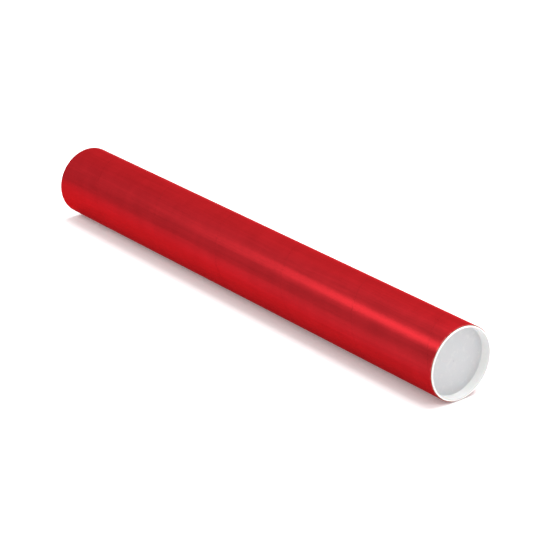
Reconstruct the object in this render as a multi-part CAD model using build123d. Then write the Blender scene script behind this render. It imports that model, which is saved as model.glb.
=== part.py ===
from build123d import *

import os
from math import asin, ceil, cos, pi

# Drawing tube: a paper tube wound from four spiral plies, with a push-in
# plastic plug in each end.  Millimetres.  The tube lies on its side: +X runs
# along its axis to the front plug and +Z is up.  The origin is on the surface
# that it lies on, under the middle of the tube.

# ---- driving dimensions -------------------------------------------------
bore_diameter = 76.2            # 3 in, the bore that the plugs are made for
usable_length = 609.6           # 24 in, between the plugs
wrap_strip_width = 101.6        # the outer wrap comes off a 4 in wide reel

liner_thickness = 0.3
inner_board_thickness = 0.5
outer_board_thickness = 0.5
wrap_thickness = 0.2

board_seam_gap = 0.4            # the strip's edges butt with this gap, measured square to them
wrap_seam_gap = 0.2
edge_lean = 0.04                # the strips' cut edges lean back, so a gap is this much wider each
                                # side, outwards, per unit of depth; the gaps are for mid-thickness
seam_start = 0.81               # where the liner's seam leaves the tube's end, in turns
seam_stagger = 0.25             # turns from each ply's seam to the next one's
slit_margin = 0.5               # how far the seam's cutter stands out of the ply, each side
slit_overlap = 0.01             # how far one turn of the cutter runs into the next, in turns

skirt_length = 12.7             # 1/2 in, how far a plug goes into the bore
skirt_wall = 0.9
rib_clearance = 0.05            # radial, from the ribs' tops to the bore
rib_height = 0.2
rib_width = 1.2
rib_count = 24
rib_setback = 2.0               # from the skirt's tip to the ribs' ends
lead_in = 1.5                   # length of the taper at the ribs' ends
recess_depth = 10.0             # from the flange's face to the floor
floor_thickness = 1.2
recess_draft = 0.4              # the recess is this much smaller in radius at its floor
recess_corner_radius = 1.2
flange_thickness = 1.2
flange_inset = 1.0              # the flange stops this far inside the tube's outside
flange_edge_radius = 0.3
gate_diameter = 3.0             # the moulding gate's mark, in the middle of the recess
gate_height = 0.3

# ---- sizes that follow --------------------------------------------------
bore_radius = bore_diameter / 2
wall = liner_thickness + inner_board_thickness + outer_board_thickness + wrap_thickness
tube_radius = bore_radius + wall
tube_length = usable_length + 2 * skirt_length

# A strip laid at angle A to the hoop direction covers the tube edge to edge
# when its width is the circumference times sin A.
winding_angle = asin(wrap_strip_width / (2 * pi * tube_radius))
winding_pitch = wrap_strip_width / cos(winding_angle)

rib_radius = bore_radius - rib_clearance
skirt_radius = rib_radius - rib_height
recess_radius = skirt_radius - skirt_wall
flange_radius = tube_radius - flange_inset
recess_floor = flange_thickness - recess_depth
underside = recess_floor - floor_thickness
skirt_end_radius = skirt_radius - recess_draft


def along_x(radius, start, length):
    """A solid cylinder on the X axis, from start towards +X."""
    upright = Cylinder(radius, length, align=(Align.CENTER, Align.CENTER, Align.MIN))
    return Pos(start, 0, 0) * Rot(0, 90, 0) * upright


def seam_turn(radius, thickness, gap, start, turn):
    """One turn of the helical slit where a ply's edges meet, from x = start."""
    path = Rot(turn * 360, 0, 0) * Helix(
        pitch=winding_pitch,
        height=winding_pitch * (1 + slit_overlap),
        radius=radius,
        center=(start, 0, 0),
        direction=(1, 0, 0),
    )
    outwards = (path @ 0) - Vector(start, 0, 0)
    through_axis = Plane(origin=path @ 0, x_dir=(1, 0, 0), z_dir=Vector(1, 0, 0).cross(outwards))
    half_gap = gap / cos(winding_angle) / 2
    reach = thickness / 2 + slit_margin
    lean = edge_lean * reach
    section = through_axis * make_face(Polyline(
        (half_gap + lean, reach),
        (-half_gap - lean, reach),
        (-half_gap + lean, -reach),
        (half_gap - lean, -reach),
        close=True,
    ))
    return sweep(section, path=path, is_frenet=True)


def ply(inner_radius, thickness, gap, turn):
    """One strip wound edge to edge: a plain tube, slit along its seam from end to end."""
    near_cut = -tube_length / 2
    strip = along_x(inner_radius + thickness, near_cut, tube_length)
    strip = strip - along_x(inner_radius, near_cut, tube_length)
    for i in range(ceil(tube_length / winding_pitch) + 1):
        start = near_cut + (i - 1) * winding_pitch
        strip = strip.cut(seam_turn(inner_radius + thickness / 2, thickness, gap, start, turn))
    return Pos(0, 0, tube_radius) * strip


def plug_body():
    """The cup: rim flange, skirt and recessed floor, turned about X.

    The tube's cut end is at x = 0 and the skirt runs to -X.
    """
    outline = make_face(Polyline(
        (underside, 0),
        (underside, skirt_end_radius - skirt_wall),
        (-skirt_length, skirt_end_radius - skirt_wall),
        (-skirt_length, skirt_end_radius),
        (0, skirt_radius),
        (0, flange_radius),
        (flange_thickness, flange_radius),
        (flange_thickness, recess_radius),
        (recess_floor, recess_radius - recess_draft),
        (recess_floor, 0),
        close=True,
    ))
    rim_corners = outline.vertices().filter_by_position(Axis.X, 0.9 * flange_thickness, flange_thickness)
    outline = fillet(rim_corners, flange_edge_radius)
    floor_corner = outline.vertices().sort_by_distance((recess_floor, recess_radius - recess_draft))[0]
    outline = fillet(floor_corner, recess_corner_radius)
    return revolve(outline, Axis.X)


def plug_ribs():
    """Straight ribs round the skirt, tapered at their ends to lead them into the bore."""
    root = skirt_radius - skirt_wall / 2
    tip = rib_setback - skirt_length
    outline = make_face(Polyline(
        (tip, root),
        (tip, skirt_end_radius),
        (tip + lead_in, rib_radius),
        (0, rib_radius),
        (0, root),
        close=True,
    ))
    ring = revolve(outline, Axis.X)
    blank = Box(skirt_length, rib_width, 2 * rib_radius, align=(Align.MAX, Align.CENTER, Align.CENTER))
    fan = [Rot(180 * i / (rib_count / 2), 0, 0) * blank for i in range(rib_count // 2)]
    return ring & (fan[0] + fan[1:])


def plug():
    """A whole plug, seated: one moulding."""
    gate = along_x(gate_diameter / 2, recess_floor - floor_thickness / 2, floor_thickness / 2 + gate_height)
    return plug_body() + plug_ribs() + gate


def write(name, shape):
    """One node, in its own STEP file."""
    shape.label = name
    export_step(shape, os.path.join("parts", name + ".step"))


os.makedirs("parts", exist_ok=True)

plies = (
    ("inner_liner", liner_thickness, board_seam_gap),
    ("inner_board", inner_board_thickness, board_seam_gap),
    ("outer_board", outer_board_thickness, board_seam_gap),
    ("outer_wrap", wrap_thickness, wrap_seam_gap),
)
ply_radius = bore_radius
for layer, (name, thickness, gap) in enumerate(plies):
    write(name, ply(ply_radius, thickness, gap, seam_start + layer * seam_stagger))
    ply_radius += thickness

seated_plug = plug()
write("front_plug", Pos(tube_length / 2, 0, tube_radius) * seated_plug)
write("back_plug", Pos(-tube_length / 2, 0, tube_radius) * Rot(0, 0, 180) * seated_plug)
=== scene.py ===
from math import asin, atan2, ceil, cos, hypot, pi, radians

import bpy
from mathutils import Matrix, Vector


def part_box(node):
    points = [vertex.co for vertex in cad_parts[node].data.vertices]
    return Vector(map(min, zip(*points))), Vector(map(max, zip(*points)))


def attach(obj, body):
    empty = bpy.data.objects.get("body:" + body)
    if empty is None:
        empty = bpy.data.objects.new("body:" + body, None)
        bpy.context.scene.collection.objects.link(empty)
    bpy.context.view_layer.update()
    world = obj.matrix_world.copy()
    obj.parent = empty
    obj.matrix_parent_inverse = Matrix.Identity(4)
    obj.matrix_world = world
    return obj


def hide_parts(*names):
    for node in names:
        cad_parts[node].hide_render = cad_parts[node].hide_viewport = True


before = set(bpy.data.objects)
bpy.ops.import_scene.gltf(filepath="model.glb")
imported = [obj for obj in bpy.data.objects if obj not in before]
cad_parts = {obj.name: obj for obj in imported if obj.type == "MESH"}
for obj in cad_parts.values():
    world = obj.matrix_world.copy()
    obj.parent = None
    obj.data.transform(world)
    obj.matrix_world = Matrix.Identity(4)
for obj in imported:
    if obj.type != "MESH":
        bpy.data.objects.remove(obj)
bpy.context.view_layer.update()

# ---------------------------------------------------------------- inner liner
# The first strip wound on the mandrel: thin brown kraft paper that makes the
# smooth bore.  It butts edge to edge along a helix, and is glued to the board
# over it.
LINER_THICKNESS = 0.0003
BOARD_SEAM_GAP = 0.0004
WRAP_STRIP_WIDTH = 0.1016
STEPS_A_TURN = 144
CUT_TOLERANCE = 0.000001
LINER_SEAM_TURN = 0.81
SEAM_STAGGER = 0.25

wrap_low, wrap_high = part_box("outer_wrap")
TUBE_START = wrap_low.x
TUBE_END = wrap_high.x
TUBE_LENGTH = TUBE_END - TUBE_START
TUBE_RADIUS = (wrap_high.z - wrap_low.z) / 2
AXIS_HEIGHT = (wrap_high.z + wrap_low.z) / 2
GIRTH = 2 * pi * TUBE_RADIUS

# All four strips advance by one strip a turn, at the wrap's angle to the hoop.
winding_angle = asin(WRAP_STRIP_WIDTH / GIRTH)
WINDING_PITCH = WRAP_STRIP_WIDTH / cos(winding_angle)


def outer_radius(node):
    low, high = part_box(node)
    return (high.y - low.y) / 2


def take_up(piece):
    """Makes piece the only selected object, in edit mode, with nothing selected in it."""
    bpy.ops.object.select_all(action="DESELECT")
    piece.select_set(True)
    bpy.context.view_layer.objects.active = piece
    bpy.ops.object.mode_set(mode="EDIT")
    bpy.ops.mesh.select_all(action="DESELECT")


def put_down(piece, smooth_under=30):
    """Leaves edit mode, settles the piece's place into its mesh and shades it."""
    bpy.ops.object.mode_set(mode="OBJECT")
    bpy.ops.object.transform_apply(location=True, rotation=True, scale=True)
    bpy.ops.object.shade_smooth_by_angle(angle=radians(smooth_under))


def pick(piece, kind, test):
    """Selects the vertices, edges or polygons of piece, in edit mode, that pass the test."""
    bpy.ops.mesh.select_mode(type={"vertices": "VERT", "edges": "EDGE", "polygons": "FACE"}[kind])
    bpy.ops.object.mode_set(mode="OBJECT")
    for part in getattr(piece.data, kind):
        if test(part):
            part.select = True
    bpy.ops.object.mode_set(mode="EDIT")


def wind_strip(name, radius, thickness, gap, seam_turn, finish_edges=None):
    """Winds a flat strip into a tube ply and saws both ends square.

    The strip's cross-section is screwed about the tube's axis, from one turn
    before the tube starts to one turn after it ends.
    """
    width = WINDING_PITCH - gap / cos(winding_angle)
    bpy.ops.object.select_all(action="DESELECT")
    bpy.ops.mesh.primitive_plane_add(size=1, enter_editmode=False)
    strip = bpy.context.object
    strip.name = name
    take_up(strip)
    bpy.ops.mesh.select_all(action="SELECT")
    bpy.ops.transform.resize(value=(width, thickness, 1))
    bpy.ops.transform.rotate(value=-pi / 2, orient_axis="X", center_override=(0, 0, 0))
    bpy.ops.transform.translate(value=(WINDING_PITCH / 2, 0, radius - thickness / 2))
    if finish_edges:
        finish_edges(strip, radius)
    bpy.ops.mesh.select_all(action="SELECT")
    bpy.ops.mesh.delete(type="ONLY_FACE")
    bpy.ops.object.mode_set(mode="OBJECT")
    screw = strip.modifiers.new("wind", "SCREW")
    screw.axis = "X"
    screw.angle = 2 * pi
    screw.screw_offset = WINDING_PITCH
    screw.iterations = ceil(TUBE_LENGTH / WINDING_PITCH) + 2
    screw.steps = STEPS_A_TURN
    screw.render_steps = STEPS_A_TURN
    bpy.ops.object.modifier_apply(modifier=screw.name)
    take_up(strip)
    bpy.ops.mesh.select_all(action="SELECT")
    bpy.ops.transform.rotate(value=-2 * pi * seam_turn, orient_axis="X", center_override=(0, 0, 0))
    bpy.ops.transform.translate(value=(TUBE_START - WINDING_PITCH, 0, AXIS_HEIGHT))
    for end, side in ((TUBE_START, -1), (TUBE_END, 1)):
        bpy.ops.mesh.select_all(action="SELECT")
        bpy.ops.mesh.bisect(
            plane_co=(end, 0, 0),
            plane_no=(side, 0, 0),
            use_fill=True,
            clear_outer=True,
            threshold=CUT_TOLERANCE,
        )
    bpy.ops.mesh.select_all(action="SELECT")
    bpy.ops.mesh.normals_make_consistent(inside=False)
    put_down(strip)
    return strip


class Flow:
    """One value in a material's nodes, which arithmetic can be written with."""

    def __init__(self, tree, socket):
        self.tree = tree
        self.socket = socket

    def node(self, kind, settings, inputs, output=0):
        """Adds a node of any kind to this value's material and gives one of its outputs."""
        made = self.tree.nodes.new(kind)
        for name, value in settings.items():
            setattr(made, name, value)
        for name, value in inputs.items():
            if isinstance(value, Flow):
                self.tree.links.new(value.socket, made.inputs[name])
            else:
                made.inputs[name].default_value = value
        return Flow(self.tree, made.outputs[output])

    def maths(self, operation, *terms):
        return self.node("ShaderNodeMath", {"operation": operation}, dict(enumerate(terms)))

    def __add__(self, other):
        return self.maths("ADD", self, other)

    __radd__ = __add__

    def __sub__(self, other):
        return self.maths("SUBTRACT", self, other)

    def __rsub__(self, other):
        return self.maths("SUBTRACT", other, self)

    def __mul__(self, other):
        return self.maths("MULTIPLY", self, other)

    __rmul__ = __mul__

    def __truediv__(self, other):
        return self.maths("DIVIDE", self, other)

    def __rtruediv__(self, other):
        return self.maths("DIVIDE", other, self)

    def __pow__(self, other):
        return self.maths("POWER", self, other)

    def step(self, low, high):
        """Rises smoothly from 0 at low to 1 at high, and falls when low is the higher."""
        settings = {"interpolation_type": "SMOOTHSTEP"}
        return self.node("ShaderNodeMapRange", settings, {0: self, 1: low, 2: high})

    def mix(self, below, above):
        """A colour that goes from below to above as this value goes from 0 to 1."""
        return self.node("ShaderNodeMix", {"data_type": "RGBA"}, {0: self, 6: below, 7: above}, 2)

    def noise(self, scale, detail, along=(1, 1, 1)):
        """Cloudy noise, 0 to 1, over this position, stretched by along."""
        place = self.node("ShaderNodeVectorMath", {"operation": "MULTIPLY"}, {0: self, 1: along})
        inputs = {"Vector": place, "Scale": scale, "Detail": detail, "Roughness": 0.6}
        return self.node("ShaderNodeTexNoise", {"noise_dimensions": "3D"}, inputs)

    def specks(self, scale, share, along=(1, 1, 1)):
        """Small separate flecks, 1 inside, that cover about this share of cell radii."""
        place = self.node("ShaderNodeVectorMath", {"operation": "MULTIPLY"}, {0: self, 1: along})
        spot = self.node("ShaderNodeTexVoronoi", {"feature": "F1"}, {"Vector": place, "Scale": scale})
        return spot.step(share, share * 0.6)

    def parts(self):
        """The three parts of a position."""
        return [self.node("ShaderNodeSeparateXYZ", {}, {0: self}, i) for i in range(3)]

    def joined(self, second, third):
        """A position made of this value and two more."""
        return self.node("ShaderNodeCombineXYZ", {}, {0: self, 1: second, 2: third})


def new_material(name, constants):
    """A material with its shader's fixed inputs set; returns it, its shader and its position."""
    material = bpy.data.materials.new(name)
    material.use_nodes = True
    tree = material.node_tree
    shader = tree.nodes["Principled BSDF"]
    for socket, value in constants.items():
        shader.inputs[socket].default_value = value
    place = Flow(tree, tree.nodes.new("ShaderNodeTexCoord").outputs["Object"])
    return material, shader, place


def finish_with(shader, place, **values):
    """Feeds the shader's varying inputs; relief is a height in metres for the bump."""
    for name, value in values.items():
        if name == "relief":
            inputs = {"Height": value, "Strength": 1.0, "Distance": 1.0}
            value = place.node("ShaderNodeBump", {}, inputs)
            name = "Normal"
        place.tree.links.new(value.socket, shader.inputs[name.replace("_", " ")])


def unrolled(place):
    """A position on the tube as metres along its strips, across them, and out from its axis.

    The cut that unrolling makes runs along the underside.
    """
    x, y, z = place.parts()
    height = z - AXIS_HEIGHT
    arc = place.maths("ARCTAN2", y * -1.0, height) * TUBE_RADIUS
    slant = hypot(GIRTH, WINDING_PITCH)
    lengthways = arc * (GIRTH / slant) + x * (WINDING_PITCH / slant)
    crossways = x * (GIRTH / slant) - arc * (WINDING_PITCH / slant)
    return lengthways.joined(crossways, (y * y + height * height) ** 0.5)


def seam_nearness(place, seam_turn, reach):
    """1 on a ply's seam, falling to 0 this far from it across the strip."""
    x, y, z = place.parts()
    turn = place.maths("ARCTAN2", y * -1.0, z - AXIS_HEIGHT) / (2 * pi)
    across = (x - TUBE_START) / WINDING_PITCH - turn + (seam_turn + 0.5)
    off = place.maths("ABSOLUTE", place.maths("FRACT", across) - 0.5) * WRAP_STRIP_WIDTH
    return off.step(reach, 0.0)


def kraft_paper():
    """Unbleached kraft: long fibres along the strip, darker shives and a calendered sheen."""
    kraft, shader, place = new_material(
        "brown_kraft_paper", {"Specular IOR Level": 0.35, "Sheen Weight": 0.08}
    )
    sheet = unrolled(place)
    fibres = sheet.noise(2600, 3, (0.12, 1, 1))
    clouds = sheet.noise(160, 4)
    shives = sheet.specks(420, 0.16, (0.25, 1, 0.2))
    seam = seam_nearness(place, LINER_SEAM_TURN, 0.0012)
    tone = (clouds * 0.55 + fibres * 0.45).step(0.3, 0.7)
    colour = tone.mix((0.30, 0.185, 0.098, 1), (0.47, 0.325, 0.195, 1))
    colour = (shives * 0.55).mix(colour, (0.16, 0.085, 0.04, 1))
    colour = (seam * 0.45).mix(colour, (0.15, 0.085, 0.045, 1))
    finish_with(
        shader,
        place,
        Base_Color=colour,
        Roughness=0.62 + clouds * 0.18 + fibres * 0.08,
        relief=fibres * 0.00002 + clouds * 0.00003,
    )
    return kraft


inner_liner = wind_strip(
    "inner_liner_paper",
    outer_radius("inner_liner"),
    LINER_THICKNESS,
    BOARD_SEAM_GAP,
    LINER_SEAM_TURN,
)
inner_liner.data.materials.append(kraft_paper())
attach(inner_liner, "tube")
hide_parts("inner_liner")

# ---------------------------------------------------------------- inner board
# The first strip of tube board, brown and felted, wound over the liner with
# its seam a quarter turn on.  It is glued face to face to the plies each side.


def tube_board():
    """Recycled tube board: felted grey-brown stock with flecks, laminated where it is cut."""
    board, shader, place = new_material("recycled_tube_board", {"Specular IOR Level": 0.3})
    along = place.maths("ABSOLUTE", place.parts()[0])
    sheet = unrolled(place)
    felt = sheet.noise(900, 5, (0.35, 1, 1))
    clouds = sheet.noise(120, 3)
    flecks = sheet.specks(520, 0.2, (0.5, 1, 1))
    pale_flecks = sheet.specks(300, 0.12, (0.4, 1, 1))
    laminae = sheet.noise(1.0, 2, (120, 120, 9000))
    tone = (felt * 0.4 + clouds * 0.3 + laminae * 0.3).step(0.3, 0.7)
    colour = tone.mix((0.24, 0.165, 0.105, 1), (0.42, 0.31, 0.21, 1))
    colour = (flecks * 0.5).mix(colour, (0.12, 0.08, 0.06, 1))
    colour = (pale_flecks * 0.5).mix(colour, (0.6, 0.52, 0.42, 1))
    # the saw drags red from the wrap over the sawn end of the board under it
    stain = along.step(TUBE_LENGTH / 2 - 0.0006, TUBE_LENGTH / 2 - 0.0001)
    stain = stain * sheet.parts()[2].step(TUBE_RADIUS - 0.0009, TUBE_RADIUS - 0.0006)
    colour = (stain * 0.85).mix(colour, (0.27, 0.016, 0.02, 1))
    finish_with(
        shader,
        place,
        Base_Color=colour,
        Roughness=0.78 + felt * 0.16,
        relief=felt * 0.00004 + laminae * 0.00003,
    )
    return board


grey_brown_board = tube_board()
inner_board = wind_strip(
    "inner_board_ply",
    outer_radius("inner_board"),
    outer_radius("inner_board") - outer_radius("inner_liner"),
    BOARD_SEAM_GAP,
    LINER_SEAM_TURN + SEAM_STAGGER,
)
inner_board.data.materials.append(grey_brown_board)
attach(inner_board, "tube")
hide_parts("inner_board")

# ---------------------------------------------------------------- outer board
# The second strip of the same board, glued over the first.  Its cut edge shows
# as a thin ring round each plug's rim.
outer_board = wind_strip(
    "outer_board_ply",
    outer_radius("outer_board"),
    outer_radius("outer_board") - outer_radius("inner_board"),
    BOARD_SEAM_GAP,
    LINER_SEAM_TURN + 2 * SEAM_STAGGER,
)
outer_board.data.materials.append(grey_brown_board)
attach(outer_board, "tube")
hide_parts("outer_board")

# ---------------------------------------------------------------- outer wrap
# The last strip: red-dyed paper with a deep red metallic coat on its outside,
# glued over the boards and sawn off with them.  The board seam under it shows
# through as a faint line.
WRAP_SEAM_GAP = 0.00008
WRAP_SEAM_TURN = LINER_SEAM_TURN + 3 * SEAM_STAGGER
WRAP_THICKNESS = outer_radius("outer_wrap") - outer_radius("outer_board")
COLUMNS_ACROSS = 15
WAVE_DEPTH = 0.00005
WAVE_SIZE = 0.03


def split_outside(strip, radius):
    """Splits the outside into columns, so that it can wave, as the glue lets it."""

    def on_outside(edge):
        return all(strip.data.vertices[i].co.z > radius - WRAP_THICKNESS / 4 for i in edge.vertices)

    bpy.ops.mesh.select_all(action="DESELECT")
    pick(strip, "edges", on_outside)
    bpy.ops.mesh.subdivide(number_cuts=COLUMNS_ACROSS)


def let_it_wave(wrap):
    """Sinks the outside by up to WAVE_DEPTH in soft hollows, where the glue has shrunk."""
    bpy.ops.object.select_all(action="DESELECT")
    wrap.select_set(True)
    bpy.context.view_layer.objects.active = wrap
    outside = wrap.vertex_groups.new(name="outside")
    middle = TUBE_RADIUS - WRAP_THICKNESS / 2
    outer = [
        corner.index
        for corner in wrap.data.vertices
        if hypot(corner.co.y, corner.co.z - AXIS_HEIGHT) > middle
    ]
    outside.add(outer, 1.0, "REPLACE")
    hollows = bpy.data.textures.new("glue_hollows", "CLOUDS")
    hollows.noise_scale = WAVE_SIZE
    hollows.noise_depth = 1
    sink = wrap.modifiers.new("sink", "DISPLACE")
    sink.texture = hollows
    sink.texture_coords = "LOCAL"
    sink.vertex_group = outside.name
    sink.mid_level = 1.0
    sink.strength = WAVE_DEPTH
    bpy.ops.object.modifier_apply(modifier=sink.name)


def red_coated_paper():
    """A red metallic coat on dyed paper: streaked along the tube, scuffed, bare at cut edges."""
    red, shader, place = new_material(
        "red_coated_paper",
        {"Specular Tint": (1.0, 0.08, 0.1, 1), "Specular IOR Level": 0.0},
    )
    sheet = unrolled(place)
    out = sheet.parts()[2]
    # the coat is drawn out in fine lines along the tube
    streaks = place.noise(520, 4, (0.016, 1, 1))
    mottle = sheet.noise(45, 3, (0.6, 1, 0.2))
    grain = sheet.noise(3200, 2, (0.4, 1, 1))
    # rubs run the way that the tube is pulled from a rack, along its axis
    rubs = place.noise(90, 6, (0.06, 1, 1)).step(0.6, 0.78)
    nicks = place.specks(55, 0.07, (0.35, 1, 1)) * place.noise(9, 2).step(0.45, 0.62)
    own_seam = seam_nearness(place, WRAP_SEAM_TURN, 0.00045)
    board_seam = seam_nearness(place, WRAP_SEAM_TURN - SEAM_STAGGER, 0.0011)
    along = place.maths("ABSOLUTE", place.parts()[0])
    end_wear = along.step(TUBE_LENGTH / 2 - 0.0016, TUBE_LENGTH / 2 - 0.0002)
    end_wear = end_wear * place.noise(260, 4).step(0.42, 0.6)
    core = out.step(TUBE_RADIUS - 0.00008, TUBE_RADIUS - 0.00012)

    tone = (mottle * 0.4 + streaks * 0.45 + grain * 0.15).step(0.3, 0.7)
    colour = tone.mix((0.285, 0.0125, 0.0160, 1), (0.355, 0.0150, 0.0195, 1))
    colour = (rubs * 0.3).mix(colour, (0.52, 0.022, 0.03, 1))
    colour = (board_seam * 0.05).mix(colour, (0.25, 0.004, 0.008, 1))
    colour = (own_seam * 0.1).mix(colour, (0.22, 0.004, 0.008, 1))
    colour = (nicks * 0.45).mix(colour, (0.3, 0.01, 0.014, 1))
    colour = (end_wear * 0.4).mix(colour, (0.68, 0.17, 0.15, 1))
    colour = core.mix(colour, (0.34, 0.05, 0.05, 1))
    finish_with(
        shader,
        place,
        Base_Color=colour,
        Metallic=0.55 - core * 0.55 - end_wear * 0.2,
        Roughness=0.24 + streaks * 0.05 + mottle * 0.06 + rubs * 0.07 + core * 0.4,
        relief=(
            mottle * 0.00010 + streaks * 0.00002 + grain * 0.0000015
            - board_seam * 0.000004 - nicks * 0.00003
        ),
    )
    return red


outer_wrap = wind_strip(
    "outer_wrap_paper",
    outer_radius("outer_wrap"),
    WRAP_THICKNESS,
    WRAP_SEAM_GAP,
    WRAP_SEAM_TURN,
    split_outside,
)
let_it_wave(outer_wrap)
outer_wrap.data.materials.append(red_coated_paper())
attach(outer_wrap, "tube")
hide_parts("outer_wrap")

# ---------------------------------------------------------------- front plug
# One moulding in white polythene: a cup whose ribbed skirt is pushed into the
# bore until its rim flange meets the tube's sawn end.  It holds by the grip of
# its ribs alone.
FLANGE_THICKNESS = 0.0012
FLANGE_EDGE = 0.0003
RIB_CLEARANCE = 0.00005
RIB_HEIGHT = 0.0002
SKIRT_WALL = 0.0009
RECESS_DEPTH = 0.010
FLOOR_THICKNESS = 0.0012
FLOOR_CORNER = 0.0012
FLOOR_RINGS = (0.026, 0.013)
DRAFT = 0.0004
RIB_START = 0.0003
RIB_SETBACK = 0.002
LEAD_IN = 0.0015
GATE_RADIUS = 0.0015
GATE_HEIGHT = 0.0003
PLUG_SEGMENTS = 240
SEGMENTS_A_RIB = 10

plug_low, plug_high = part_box("front_plug")
FLANGE_RADIUS = outer_radius("front_plug")
SKIRT_LENGTH = TUBE_END - plug_low.x
BORE_RADIUS = outer_radius("inner_liner") - LINER_THICKNESS
RIB_RADIUS = BORE_RADIUS - RIB_CLEARANCE
SKIRT_RADIUS = RIB_RADIUS - RIB_HEIGHT
RECESS_RADIUS = SKIRT_RADIUS - SKIRT_WALL
FLOOR_RADIUS = RECESS_RADIUS - DRAFT
PLUG_MIDDLE = (TUBE_END, 0, AXIS_HEIGHT)


def mould_plug(name):
    """One plug, seated in the front end."""
    bpy.ops.object.select_all(action="DESELECT")
    bpy.ops.mesh.primitive_cylinder_add(
        vertices=PLUG_SEGMENTS,
        radius=FLANGE_RADIUS,
        depth=FLANGE_THICKNESS,
        location=(TUBE_END + FLANGE_THICKNESS / 2, 0, AXIS_HEIGHT),
        rotation=(0, pi / 2, 0),
    )
    plug = bpy.context.object
    plug.name = name
    bpy.ops.object.transform_apply(location=True, rotation=True, scale=True)
    take_up(plug)
    bpy.ops.mesh.select_all(action="SELECT")
    bpy.ops.transform.rotate(value=pi / PLUG_SEGMENTS, orient_axis="X", center_override=PLUG_MIDDLE)
    bpy.ops.mesh.select_all(action="DESELECT")

    def sink(distance, radius, new_radius):
        """Extrudes the selected round face along X and brings it to a new radius."""
        bpy.ops.mesh.extrude_region_move(TRANSFORM_OT_translate={"value": (distance, 0, 0)})
        share = new_radius / radius
        bpy.ops.transform.resize(value=(1, share, share), center_override=PLUG_MIDDLE)

    def far_from_axis(corner):
        return hypot(corner.co.y, corner.co.z - AXIS_HEIGHT)

    def ring_at(x, radius):
        """A test for the edges of one ring."""

        def on_ring(edge):
            corners = [plug.data.vertices[i] for i in edge.vertices]
            return all(
                abs(c.co.x - x) < 0.00001 and abs(far_from_axis(c) - radius) < 0.00004
                for c in corners
            )

        return on_ring

    # the skirt grows out of the flange's back face, through the heights where
    # its ribs start and end
    pick(plug, "polygons", lambda face: face.normal.x < -0.9)
    bpy.ops.mesh.inset(thickness=FLANGE_RADIUS - SKIRT_RADIUS)
    rib_end = SKIRT_LENGTH - RIB_SETBACK
    depths = (0, RIB_START, rib_end - LEAD_IN, rib_end, SKIRT_LENGTH)
    radii = [SKIRT_RADIUS - DRAFT * depth / SKIRT_LENGTH for depth in depths]
    for i in range(1, len(depths)):
        sink(depths[i - 1] - depths[i], radii[i - 1], radii[i])
    bpy.ops.mesh.inset(thickness=SKIRT_WALL)
    hollow = radii[-1] - SKIRT_WALL
    sink(SKIRT_LENGTH - (RECESS_DEPTH - FLANGE_THICKNESS + FLOOR_THICKNESS), hollow, hollow)

    # the recess is sunk into its front face, down to the gate's mark
    bpy.ops.mesh.select_all(action="DESELECT")
    pick(plug, "polygons", lambda face: face.normal.x > 0.9 and face.center.x > plug_high.x - 0.0001)
    bpy.ops.mesh.inset(thickness=FLANGE_RADIUS - RECESS_RADIUS)
    sink(-RECESS_DEPTH, RECESS_RADIUS, FLOOR_RADIUS)
    for before, ring in zip((FLOOR_RADIUS, *FLOOR_RINGS), (*FLOOR_RINGS, GATE_RADIUS)):
        sink(0, before, ring)
    sink(GATE_HEIGHT, GATE_RADIUS, GATE_RADIUS * 0.9)

    # the rim's two edges are rounded, and the recess's inside corner
    rim = (ring_at(plug_high.x, FLANGE_RADIUS), ring_at(plug_high.x, RECESS_RADIUS))
    bpy.ops.mesh.select_all(action="DESELECT")
    pick(plug, "edges", lambda edge: any(test(edge) for test in rim))
    bpy.ops.mesh.bevel(offset=FLANGE_EDGE, segments=4, affect="EDGES")
    bpy.ops.mesh.select_all(action="DESELECT")
    pick(plug, "edges", ring_at(plug_high.x - RECESS_DEPTH, FLOOR_RADIUS))
    bpy.ops.mesh.bevel(offset=FLOOR_CORNER, segments=5, affect="EDGES")

    # every tenth column of the skirt is raised into a rib, with a lead-in
    def in_rib(face):
        y, z = face.center.y, face.center.z - AXIS_HEIGHT
        column = atan2(y, z) / (2 * pi) * PLUG_SEGMENTS
        on_skirt = hypot(y, z) > radii[-1] - DRAFT / 2
        along_rib = TUBE_END - rib_end < face.center.x < TUBE_END - RIB_START
        half = SEGMENTS_A_RIB / 2
        return on_skirt and along_rib and abs((column + half) % SEGMENTS_A_RIB - half) < 0.4

    bpy.ops.mesh.select_all(action="DESELECT")
    pick(plug, "polygons", in_rib)
    bpy.ops.mesh.extrude_region_move(TRANSFORM_OT_translate={"value": (0, 0, 0)})
    bpy.ops.object.mode_set(mode="OBJECT")
    raised = {corner.index for corner in plug.data.vertices if corner.select}
    bpy.ops.object.mode_set(mode="EDIT")
    for depth, radius in zip(depths[1:3], radii[1:3]):
        bpy.ops.mesh.select_all(action="DESELECT")
        pick(
            plug,
            "vertices",
            lambda corner: corner.index in raised and abs(corner.co.x - TUBE_END + depth) < 0.00001,
        )
        share = RIB_RADIUS / radius
        bpy.ops.transform.resize(value=(1, share, share), center_override=PLUG_MIDDLE)
    bpy.ops.mesh.select_all(action="SELECT")
    bpy.ops.mesh.remove_doubles(threshold=0.000002)
    bpy.ops.mesh.normals_make_consistent(inside=False)
    put_down(plug)
    return plug


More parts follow.
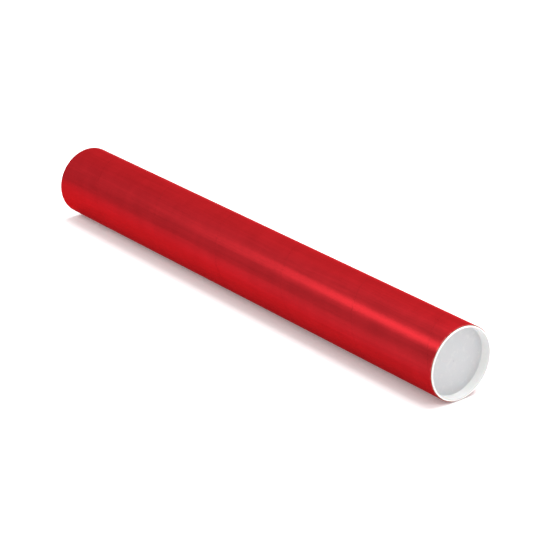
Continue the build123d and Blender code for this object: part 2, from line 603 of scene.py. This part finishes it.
def white_polythene():
    """Moulded polythene: milky white, softly rippled by cooling, scuffed on its rim, with painted
    shade on its recess floor and on the rim's inner part and a painted highlight on the rim's outer
    edge.
    """
    white, shader, place = new_material(
        "white_polythene",
        {"Specular IOR Level": 0.45, "Subsurface Weight": 0.12, "Subsurface Scale": 0.002},
    )
    cooling = place.noise(60, 3)
    skin = place.noise(1500, 3)
    x, y, z = place.parts()
    height = z - AXIS_HEIGHT
    out = (y * y + height * height) ** 0.5
    # the mould was turned on a lathe, which leaves fine rings
    turned = place.maths("SINE", out * 9000.0) * 0.5 + 0.5
    scuffs = place.noise(420, 5, (1, 0.18, 1)).step(0.58, 0.72)
    reach = place.maths("ABSOLUTE", x).step(TUBE_LENGTH / 2 + 0.0004, TUBE_LENGTH / 2 + 0.0012)
    dust = place.noise(190, 5).step(0.5, 0.75) * (1.0 - reach)
    tone = (cooling * 0.7 + skin * 0.3).step(0.3, 0.7)
    colour = tone.mix((0.7, 0.7, 0.69, 1), (0.76, 0.76, 0.75, 1))
    # painted light: the rim's inner part is painted grey, as painted shade, so the white ring reads
    # narrower, and its outer edge is painted whiter, as a painted highlight
    rim_inner_painted_shade = out.step(FLANGE_RADIUS - 0.0007, FLANGE_RADIUS - 0.0015) * reach
    rim_edge_painted_highlight = out.step(FLANGE_RADIUS - 0.0010, FLANGE_RADIUS - 0.0004) * reach
    colour = (rim_inner_painted_shade * 0.8).mix(colour, (0.5, 0.5, 0.51, 1))
    colour = rim_edge_painted_highlight.mix(colour, (0.84, 0.84, 0.83, 1))
    # painted shade: the recess floor is painted greyer than the walls and the rim
    floor_painted_shade = out.step(RECESS_RADIUS - 0.0002, RECESS_RADIUS - 0.0014)
    colour = (floor_painted_shade * 0.85).mix(colour, (0.4, 0.4, 0.415, 1))
    colour = (scuffs * reach * 0.35).mix(colour, (0.62, 0.6, 0.57, 1))
    colour = (dust * 0.25).mix(colour, (0.66, 0.64, 0.6, 1))
    finish_with(
        shader,
        place,
        Base_Color=colour,
        Roughness=0.36 + cooling * 0.1 + scuffs * reach * 0.25 + skin * 0.06,
        relief=cooling * 0.00008 + skin * 0.000002 + turned * 0.0000006 - scuffs * reach * 0.000008,
    )
    return white


milky_white = white_polythene()
front_plug = mould_plug("front_plug_moulding")
front_plug.data.materials.append(milky_white)
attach(front_plug, "front_plug")
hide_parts("front_plug")

# ---------------------------------------------------------------- back plug
# A second plug out of the same mould, white polythene again, pushed into the
# other end and held in the same way.
bpy.ops.object.select_all(action="DESELECT")
front_plug.select_set(True)
bpy.context.view_layer.objects.active = front_plug
bpy.ops.object.duplicate(linked=False)
back_plug = bpy.context.object
back_plug.name = "back_plug_moulding"
take_up(back_plug)
bpy.ops.mesh.select_all(action="SELECT")
bpy.ops.transform.rotate(value=pi, orient_axis="Z", center_override=(0, 0, AXIS_HEIGHT))
put_down(back_plug)
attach(back_plug, "back_plug")
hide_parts("back_plug")

# ---------------------------------------------------------------- studio
# A wide pale light table in even white light, with a softbox low on the
# camera's side that draws the long highlight and a broad one overhead.
FLOOR_SIZE = 8.0
bpy.ops.mesh.primitive_plane_add(size=FLOOR_SIZE, location=(0, 0, 0))
floor = bpy.context.object
floor.name = "studio_floor"
pale, shader, place = new_material(
    "pale_floor",
    {"Specular IOR Level": 0.2, "Emission Color": (1, 1, 1, 1), "Emission Strength": 0.16},
)
finish_with(
    shader,
    place,
    Base_Color=place.noise(4, 3).mix((0.86, 0.86, 0.86, 1), (0.87, 0.87, 0.87, 1)),
    Roughness=0.85 + place.noise(12, 2) * 0.1,
)
floor.data.materials.append(pale)

world = bpy.data.worlds.new("studio_air")
world.use_nodes = True
world.node_tree.nodes["Background"].inputs["Color"].default_value = (1, 1, 1, 1)
world.node_tree.nodes["Background"].inputs["Strength"].default_value = 0.8
bpy.context.scene.world = world
bpy.context.scene.view_settings.view_transform = "Standard"


def softbox(name, place, lean, turn, width, height, power):
    """An area light, leant up from straight down and then turned about the vertical."""
    bpy.ops.object.light_add(
        type="AREA", location=place, rotation=(radians(lean), 0, radians(turn))
    )
    light = bpy.context.object
    light.name = name
    light.data.shape = "RECTANGLE"
    light.data.size = width
    light.data.size_y = height
    light.data.energy = power


softbox("key_softbox", (-0.70, -0.75, 0.88), 45, 0, 0.52, 0.42, 4.0)
softbox("top_softbox", (0.1, 0.45, 1.6), -16, 0, 1.8, 1.6, 40)
softbox("fill_softbox", (1.4, -0.25, 1.35), 47, 80, 0.6, 0.6, 7)

CAMERA_PLACE = (1.6704, -1.3142, 0.9442)
CAMERA_AZIMUTH = 51.28
CAMERA_ELEVATION = 23.38
bpy.ops.object.camera_add(
    location=CAMERA_PLACE,
    rotation=(radians(90 - CAMERA_ELEVATION), 0, radians(CAMERA_AZIMUTH)),
)
camera = bpy.context.object
camera.data.lens = 141.46
bpy.context.scene.camera = camera
